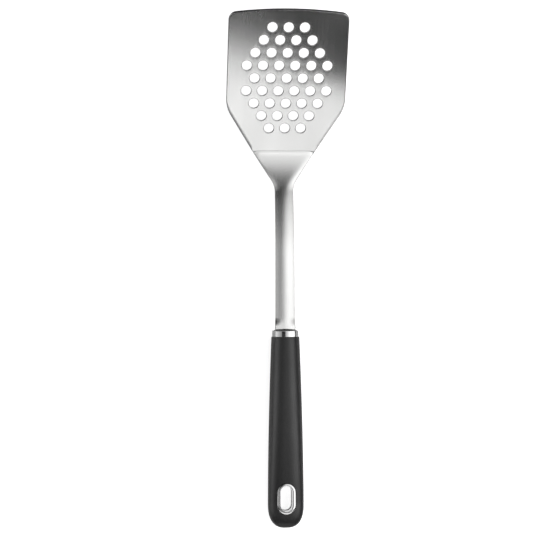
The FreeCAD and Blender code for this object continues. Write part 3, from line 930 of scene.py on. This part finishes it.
def steel_material(piece):
    """Stainless sheet, brushed along its length, with faint cloudy wear, and dull cut edges and hole walls
    darkened further with painted shade.
    """
    shader, links, node, place = material("brushed_steel", piece)
    streaks = noise(node, place, scale=(1400, 22, 22), detail=3.0)
    cloud = noise(node, place, scale=(30, 14, 14), detail=2.0)
    dull_and_shaded = node("ShaderNodeAttribute", attribute_name="cut_edge_finish_and_shade").outputs["Fac"]
    face = blend_colors(node, streaks, (0.61, 0.61, 0.605), (0.65, 0.65, 0.645))
    # Near-black colour of the cut edges and hole walls: partly their dull finish, partly painted shade
    edge = blend_colors(node, streaks, grey(0.07), grey(0.10))
    color = node("ShaderNodeMix", {"Factor": dull_and_shaded, 6: face, 7: edge}, data_type="RGBA").outputs[2]
    links.new(color, shader["Base Color"])
    edge_roughness = 0.08
    rough = calculate(node, "ADD", spread(node, streaks, 0.23, 0.265), spread(node, cloud, -0.02, 0.02))
    rough = calculate(node, "MULTIPLY_ADD", dull_and_shaded, edge_roughness, rough)
    links.new(rough, shader["Roughness"])
    normal = bumped(node, streaks, strength=0.015, distance=0.02 * MM, Normal=sprung_normal(node, place))
    links.new(normal, shader["Normal"])
    tangent = node("ShaderNodeTangent", direction_type="UV_MAP", uv_map="plan").outputs["Tangent"]
    links.new(tangent, shader["Tangent"])
    shader["Metallic"].default_value = 1.0
    shader["Anisotropic"].default_value = 1.0


def chrome_material(piece):
    """Polished metal with faint smudges and hairline wear."""
    shader, links, node, place = material("polished_" + piece.name, piece)
    smudges = noise(node, place, scale=(260, 260, 260), detail=3.0)
    links.new(blend_colors(node, smudges, grey(0.58), grey(0.64)), shader["Base Color"])
    links.new(spread(node, smudges, 0.06, 0.13), shader["Roughness"])
    links.new(bumped(node, smudges, strength=0.03, distance=0.02 * MM), shader["Normal"])
    shader["Metallic"].default_value = 1.0


def rubber_material(piece):
    """Soft-touch grip: near black, satin, with a fine moulded grain."""
    shader, links, node, place = material("soft_rubber", piece)
    grain = noise(node, place, scale=(5200, 5200, 5200), detail=2.0)
    mottle = noise(node, place, scale=(1100, 700, 1100), detail=3.0)
    cloud = noise(node, place, scale=(70, 40, 70), detail=3.0)
    color = blend_colors(node, mottle, (0.026, 0.026, 0.027), (0.038, 0.038, 0.039))
    links.new(color, shader["Base Color"])
    rough = calculate(node, "ADD", spread(node, grain, 0.36, 0.42), spread(node, cloud, -0.03, 0.03))
    rough = calculate(node, "ADD", rough, spread(node, mottle, -0.03, 0.03))
    links.new(rough, shader["Roughness"])
    links.new(bumped(node, grain, strength=0.25, distance=0.03 * MM), shader["Normal"])
    shader["Specular IOR Level"].default_value = 0.8


def core_material(piece):
    """Moulded plastic with a fine matt texture."""
    shader, links, node, place = material("matt_plastic", piece)
    grain = noise(node, place, scale=(2600, 2600, 2600), detail=2.0)
    links.new(blend_colors(node, grain, grey(0.016), grey(0.024)), shader["Base Color"])
    links.new(spread(node, grain, 0.52, 0.64), shader["Roughness"])
    links.new(bumped(node, grain, strength=0.2, distance=0.03 * MM), shader["Normal"])


def floor_material(piece):
    """Pale matt table, lit from within so that it stays white under the part."""
    shader, links, node, place = material("pale_table", piece)
    mottle = noise(node, place, scale=(6, 6, 6), detail=2.0)
    links.new(blend_colors(node, mottle, grey(0.86), grey(0.88)), shader["Base Color"])
    shader["Roughness"].default_value = 0.9
    shader["Specular IOR Level"].default_value = 0.1
    shader["Emission Color"].default_value = (1, 1, 1, 1)
    shader["Emission Strength"].default_value = FLOOR_GLOW


def make_floor():
    """Large flat table under the part."""
    mesh = bpy.data.meshes.new("floor")
    signs = ((-1, -1), (1, -1), (1, 1), (-1, 1))
    mesh.from_pydata([(x * FLOOR_REACH, y * FLOOR_REACH, 0) for x, y in signs], [], [(0, 1, 2, 3)])
    floor = bpy.data.objects.new("floor", mesh)
    bpy.context.scene.collection.objects.link(floor)
    floor_material(floor)
    return floor


def make_world():
    """Pale surround behind the table, dim as a source of light."""
    world = bpy.data.worlds.new("studio")
    bpy.context.scene.world = world
    world.use_nodes = True
    tree = world.node_tree
    node = node_adder(tree)
    dim = tree.nodes["Background"]
    dim.inputs["Color"].default_value = (1, 1, 1, 1)
    dim.inputs["Strength"].default_value = ROOM_GLOW
    pale = node("ShaderNodeBackground", {"Color": (1, 1, 1, 1), "Strength": SURROUND_GLOW})
    seen = node("ShaderNodeLightPath").outputs["Is Camera Ray"]
    both = node("ShaderNodeMixShader", {0: seen, 1: dim.outputs[0], 2: pale.outputs[0]})
    tree.links.new(both.outputs[0], tree.nodes["World Output"].inputs["Surface"])


def lit_group(name, pieces):
    """Collection of the pieces that a light shines on."""
    group = bpy.data.collections.new(name)
    for piece in pieces:
        group.objects.link(piece)
    return group


def softbox(name, group, inner, outer, y_range, radiance, fades=()):
    """Area light on a group, between an inner and an outer edge along Y, each given as x and z."""
    across = Vector((outer[0] - inner[0], 0, outer[1] - inner[1])) * math.copysign(1, outer[0] - inner[0])
    along = Vector((0, y_range[1] - y_range[0], 0))
    centre = Vector(((inner[0] + outer[0]) / 2, sum(y_range) / 2, (inner[1] + outer[1]) / 2))
    light = bpy.data.lights.new(name, "AREA")
    light.shape = "RECTANGLE"
    light.size, light.size_y = across.length, along.length
    light.energy = radiance * math.pi * light.size * light.size_y
    x_axis = across.normalized()
    z_axis = across.cross(along).normalized()
    turn = Matrix((x_axis, z_axis.cross(x_axis), z_axis)).transposed().to_4x4()
    lamp = bpy.data.objects.new(name, light)
    lamp.matrix_world = Matrix.Translation(centre) @ turn
    lamp.visible_camera = False
    lamp.light_linking.receiver_collection = group
    bpy.context.scene.collection.objects.link(lamp)
    if fades:
        grade(light, fades)


def fade(dark, full, low=0.0, u=0.0, v=0.0):
    """Ramp over a light's face: low where u and v, with these weights, come to dark, and 1 at full."""
    return dark, full, low, u, v


def grade(light, fades):
    """Dims the face of a light by all its ramps."""
    light.use_nodes = True
    tree = light.node_tree
    node = node_adder(tree)
    place = node("ShaderNodeNewGeometry").outputs["Parametric"]
    axes = node("ShaderNodeSeparateXYZ", {0: place}).outputs
    level = 1.0
    for dark, full, low, weight_u, weight_v in fades:
        total = calculate(node, "MULTIPLY", axes["X"], weight_u)
        total = calculate(node, "MULTIPLY_ADD", axes["Y"], weight_v, total)
        inputs = {"Value": total, "From Min": dark, "From Max": full, "To Min": low, "To Max": 1.0}
        ramp = node("ShaderNodeMapRange", inputs, interpolation_type="SMOOTHSTEP").outputs["Result"]
        level = calculate(node, "MULTIPLY", level, ramp)
    tree.links.new(level, tree.nodes["Emission"].inputs["Strength"])


def light_metal(metal):
    """Softboxes and cards for all the metal, the core and the floor."""
    softbox("right_softbox", metal, inner=(0.055, 1.10), outer=(1.70, 0.40), y_range=(-0.45, 1.20),
            radiance=2.05, fades=[fade(-0.06, 0.32, low=0.25, u=1), fade(1.4, 0.45, u=1),
                                  fade(-0.60, -0.42, u=1, v=-1.26), fade(0.80, 0.10, low=0.3, u=-0.2, v=1),
                                  fade(0.0, 0.12, u=0.52, v=1)])
    softbox("left_softbox", metal, inner=(-0.36, 1.00), outer=(-1.30, 0.08), y_range=(-0.35, 0.45),
            radiance=1.0, fades=[fade(1.05, 0.25, low=0.4, u=1), fade(1.0, 0.40, low=0.28, v=1)])
    softbox("neck_card", metal, inner=(-0.05, 1.08), outer=(0.40, 1.00), y_range=(-0.10, 0.24),
            radiance=0.35, fades=[fade(0.0, 0.45, v=1), fade(1.0, 0.55, v=1)])
    softbox("front_card", metal, inner=(-0.28, 0.60), outer=(0.36, 0.60), y_range=(-0.80, -0.292),
            radiance=1.75, fades=[fade(0.85, 0.75, v=1)])
    softbox("heel_card", metal, inner=(-0.25, 0.80), outer=(0.40, 0.80), y_range=(-0.36, -0.06),
            radiance=0.35, fades=[fade(0.0, 0.3, v=1), fade(1.0, 0.6, v=1)])
    softbox("end_card", metal, inner=(0.50, 0.85), outer=(1.50, 0.55), y_range=(0.62, 1.15),
            radiance=1.7, fades=[fade(0.0, 0.15, v=1)])


def light_sheet(sheet):
    """Cards for the steel and the core, mirrored when the part is seen from low down."""
    softbox("far_card", sheet, inner=(-0.15, 0.52), outer=(1.60, 0.52), y_range=(-2.30, -0.74), radiance=1.4)
    softbox("back_card", sheet, inner=(-0.60, 1.05), outer=(0.45, 1.05), y_range=(1.12, 2.00),
            radiance=1.1, fades=[fade(0.0, 0.12, v=1)])


def light_handle(dark, handle):
    """Strips for the grip, which the metal's boxes would wash out, and cards for grip and chrome."""
    softbox("grip_right", dark, inner=(0.05, 1.08), outer=(1.30, 0.60), y_range=(-0.42, 0.08),
            radiance=3.2, fades=[fade(0.0, 0.40, u=1), fade(1.0, 0.50, low=0.1, u=1),
                                 fade(1.0, 0.80, low=0.3, v=1), fade(0.0, 0.50, low=0.2, v=1)])
    softbox("grip_left", dark, inner=(-0.25, 1.00), outer=(-1.70, 0.15), y_range=(-0.45, 0.08),
            radiance=2.4, fades=[fade(1.0, 0.50, u=1), fade(0.0, 0.35, low=0.3, u=1),
                                 fade(1.0, 0.80, low=0.3, v=1), fade(0.0, 0.75, low=0.2, v=1)])
    softbox("grip_top", dark, inner=(-0.26, 1.10), outer=(0.24, 1.10), y_range=(-0.36, 0.12),
            radiance=0.40, fades=[fade(0.0, 0.5, v=1)])
    softbox("handle_far", handle, inner=(-0.50, 0.55), outer=(0.50, 0.55), y_range=(-2.40, -0.90),
            radiance=0.9)
    softbox("handle_back", handle, inner=(-0.50, 0.80), outer=(0.50, 0.80), y_range=(0.60, 2.20),
            radiance=0.9)


def make_lights(floor):
    """Soft studio light, with a group of pieces for each set of lights and for the floor's glow."""
    light_metal(lit_group("metal_lit", (steel, collar, rim_front, rim_back, core, floor)))
    light_sheet(lit_group("sheet_lit", (steel, core)))
    dark = lit_group("grip_lit", (grip,))
    light_handle(dark, lit_group("handle_lit", (grip, collar, rim_front, rim_back)))
    floor.light_linking.receiver_collection = lit_group("floor_lit", (steel, core, floor, rim_front))


def make_camera():
    """Long lens high above the part, leaning a little to its left."""
    data = bpy.data.cameras.new("camera")
    data.sensor_width = CAMERA_SENSOR
    data.lens = CAMERA_LENS
    data.clip_end = CAMERA_CLIP_END
    rx, ry, rz = CAMERA_TURN
    turn = Matrix.Rotation(rz, 3, "Z") @ Matrix.Rotation(rx, 3, "X") @ Matrix.Rotation(ry, 3, "Y")
    to_world = turn.transposed()
    place = Vector(CAMERA_AIM) + to_world @ Vector((0, 0, CAMERA_DISTANCE))
    camera = bpy.data.objects.new("camera", data)
    camera.matrix_world = Matrix.Translation(place) @ to_world.to_4x4()
    bpy.context.scene.collection.objects.link(camera)
    bpy.context.scene.camera = camera


steel_material(steel)
chrome_material(collar)
chrome_material(rim_front)
chrome_material(rim_back)
rubber_material(grip)
core_material(core)
make_world()
make_lights(make_floor())
make_camera()
bpy.context.scene.view_settings.view_transform = "Standard"
